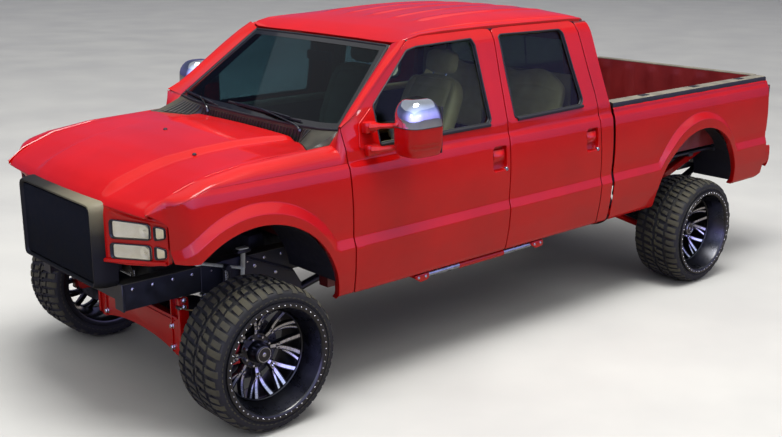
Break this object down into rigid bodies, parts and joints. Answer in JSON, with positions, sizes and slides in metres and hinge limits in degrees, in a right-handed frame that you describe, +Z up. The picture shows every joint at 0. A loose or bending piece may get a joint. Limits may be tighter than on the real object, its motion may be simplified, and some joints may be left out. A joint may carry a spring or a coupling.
{
  "type": "lifted crew-cab pickup truck",
  "caption": "Lifted crew-cab short-bed pickup on deep-dish wheels and mud tyres, with opening doors, hood and tailgate, steering front wheels, and no grille or front bumper.",
  "frame": {"origin": "on the ground, at the middle of the bounding box in length and width", "axes": "+X towards the front of the truck, +Y towards the driver's (left) side, +Z up"},
  "size_m": [6.1375, 2.52, 2.1756],
  "materials": {
    "body_paint": "gloss",
    "window_glass": "gloss",
    "rim_metal": "gloss",
    "tyre_rubber": "matt",
    "frame_steel": "satin",
    "cast_block": "matt",
    "bright_steel": "satin",
    "black_plastic": "matt",
    "interior_trim": "matt",
    "seat_cloth": "matt",
    "lamp_clear": "gloss",
    "lamp_red": "gloss"
  },
  "bodies": {
    "chassis": {"frame_rails": "frame_steel", "lift_crossmember": "body_paint", "engine_block": "cast_block", "driveline": "frame_steel", "fuel_tank": "black_plastic", "exhaust_pipe": "bright_steel", "front_axle": "frame_steel", "rear_axle": "frame_steel", "front_suspension": "bright_steel", "rear_suspension": "frame_steel", "traction_bars": "body_paint", "cab_shell": "body_paint", "roof": "body_paint", "cab_glass": "window_glass", "front_fenders": "body_paint", "radiator": "black_plastic", "headlights": "lamp_clear", "cowl_panel": "black_plastic", "wipers": "black_plastic", "dashboard": "interior_trim", "front_seats": "seat_cloth", "rear_bench": "seat_cloth", "bed": "body_paint", "bed_rail_caps": "black_plastic", "tail_lights": "lamp_red", "rear_bumper": "body_paint", "step_bars": "body_paint"},
    "left_steer": {"left_knuckle": "frame_steel"},
    "right_steer": {"right_knuckle": "frame_steel"},
    "tie_rod": {"tie_rod": "frame_steel"},
    "front_left_wheel": {"front_left_rim": "rim_metal", "front_left_tyre": "tyre_rubber"},
    "front_right_wheel": {"front_right_rim": "rim_metal", "front_right_tyre": "tyre_rubber"},
    "rear_left_wheel": {"rear_left_rim": "rim_metal", "rear_left_tyre": "tyre_rubber"},
    "rear_right_wheel": {"rear_right_rim": "rim_metal", "rear_right_tyre": "tyre_rubber"},
    "front_left_door": {"front_left_door": "body_paint", "front_left_door_glass": "window_glass", "left_mirror": "body_paint"},
    "front_right_door": {"front_right_door": "body_paint", "front_right_door_glass": "window_glass", "right_mirror": "body_paint"},
    "rear_left_door": {"rear_left_door": "body_paint", "rear_left_door_glass": "window_glass"},
    "rear_right_door": {"rear_right_door": "body_paint", "rear_right_door_glass": "window_glass"},
    "hood": {"hood": "body_paint"},
    "tailgate": {"tailgate": "body_paint"},
    "steering_wheel": {"steering_wheel": "interior_trim"}
  },
  "joints": [
    {"name": "left_steering", "type": "hinge", "parent": "chassis", "child": "left_steer", "pos_m": [2.36742, 0.78, 0.4134], "axis": [0, 0, 1], "range_deg": [-30, 30]},
    {"name": "right_steering", "type": "hinge", "parent": "chassis", "child": "right_steer", "pos_m": [2.36742, -0.78, 0.4134], "axis": [0, 0, 1], "range_deg": [-30, 30]},
    {"name": "front_left_wheel_spin", "type": "hinge", "parent": "left_steer", "child": "front_left_wheel", "pos_m": [2.36742, 0.9, 0.4134], "axis": [0, 1, 0], "continuous": true},
    {"name": "front_right_wheel_spin", "type": "hinge", "parent": "right_steer", "child": "front_right_wheel", "pos_m": [2.36742, -0.9, 0.4134], "axis": [0, 1, 0], "continuous": true},
    {"name": "rear_left_wheel_spin", "type": "hinge", "parent": "chassis", "child": "rear_left_wheel", "pos_m": [-1.7982, 0.9, 0.4134], "axis": [0, 1, 0], "continuous": true},
    {"name": "rear_right_wheel_spin", "type": "hinge", "parent": "chassis", "child": "rear_right_wheel", "pos_m": [-1.7982, -0.9, 0.4134], "axis": [0, 1, 0], "continuous": true},
    {"name": "front_left_door_hinge", "type": "hinge", "parent": "chassis", "child": "front_left_door", "pos_m": [1.65562, 0.99, 1.01228], "axis": [-0.0172, 0, -0.9999], "range_deg": [0, 65]},
    {"name": "front_right_door_hinge", "type": "hinge", "parent": "chassis", "child": "front_right_door", "pos_m": [1.65562, -0.99, 1.01228], "axis": [0.0172, 0, 0.9999], "range_deg": [0, 65]},
    {"name": "rear_left_door_hinge", "type": "hinge", "parent": "chassis", "child": "rear_left_door", "pos_m": [0.33156, 0.99, 1.03507], "axis": [-0.0172, 0, -0.9999], "range_deg": [0, 65]},
    {"name": "rear_right_door_hinge", "type": "hinge", "parent": "chassis", "child": "rear_right_door", "pos_m": [0.33156, -0.99, 1.03507], "axis": [0.0172, 0, 0.9999], "range_deg": [0, 65]},
    {"name": "hood_hinge", "type": "hinge", "parent": "chassis", "child": "hood", "pos_m": [1.78766, 0, 1.47808], "axis": [0, -1, 0], "range_deg": [0, 50]},
    {"name": "tailgate_hinge", "type": "hinge", "parent": "chassis", "child": "tailgate", "pos_m": [-2.88864, 0, 1.0365], "axis": [0, -1, 0], "range_deg": [0, 90]},
    {"name": "tie_rod_slide", "type": "slide", "parent": "chassis", "child": "tie_rod", "axis": [0, 1, 0], "range_m": [-0.09, 0.09]},
    {"name": "steering_column", "type": "hinge", "parent": "chassis", "child": "steering_wheel", "pos_m": [1.25284, 0.4, 1.31926], "axis": [-0.8907, 0, 0.4546], "range_deg": [-510, 510]}
  ],
  "couplings": [
    {"joint": "right_steering", "follows": "left_steering", "ratio": 1},
    {"joint": "tie_rod_slide", "follows": "left_steering", "m_per_rad": -0.165},
    {"joint": "steering_column", "follows": "left_steering", "ratio": 17}
  ]
}
